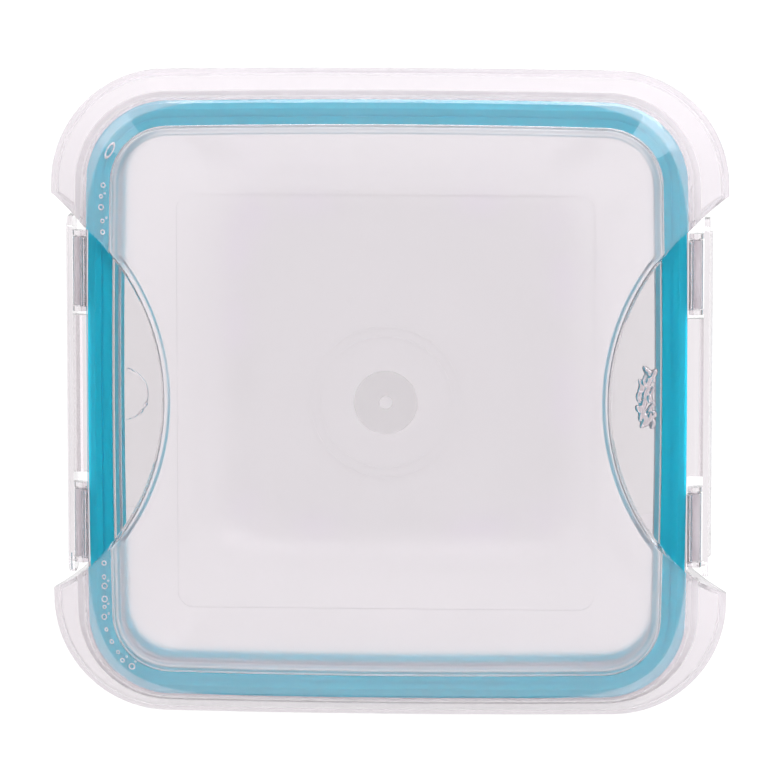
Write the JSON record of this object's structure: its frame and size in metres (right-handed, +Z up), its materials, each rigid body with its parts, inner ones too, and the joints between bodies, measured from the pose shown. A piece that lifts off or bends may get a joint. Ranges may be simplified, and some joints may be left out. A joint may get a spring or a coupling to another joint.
{
  "type": "glass food container with clip lid",
  "caption": "Square tapered glass food bowl under a clear domed-edge plastic lid with a soft sealing ring and two hinged side clips set in finger scoops.",
  "frame": {"origin": "centre of the bowl's foot, on the surface it stands on", "axes": "+Z up through the lid; +X towards the right clip, across the lid from clip to clip; +Y towards the back"},
  "size_m": [0.171, 0.165, 0.071],
  "materials": {
    "clear_glass": "polished pressed glass",
    "clear_lid_plastic": "clear gloss with a fine matt panel",
    "teal_silicone": "satin silicone rubber"
  },
  "bodies": {
    "bowl": {"glass_bowl": "clear_glass"},
    "lid": {"lid_shell": "clear_lid_plastic", "sealing_gasket": "teal_silicone"},
    "left_clip": {"left_clip": "clear_lid_plastic"},
    "right_clip": {"right_clip": "clear_lid_plastic"}
  },
  "joints": [
    {"name": "lid_lift", "type": "slide", "parent": "bowl", "child": "lid", "axis": [0, 0, 1], "range_m": [0, 0.08]},
    {"name": "left_clip_hinge", "type": "hinge", "parent": "lid", "child": "left_clip", "pos_m": [-0.0773, 0, 0.0632], "axis": [0, 1, 0], "range_deg": [0, 100]},
    {"name": "right_clip_hinge", "type": "hinge", "parent": "lid", "child": "right_clip", "pos_m": [0.0773, 0, 0.0632], "axis": [0, -1, 0], "range_deg": [0, 100]}
  ]
}
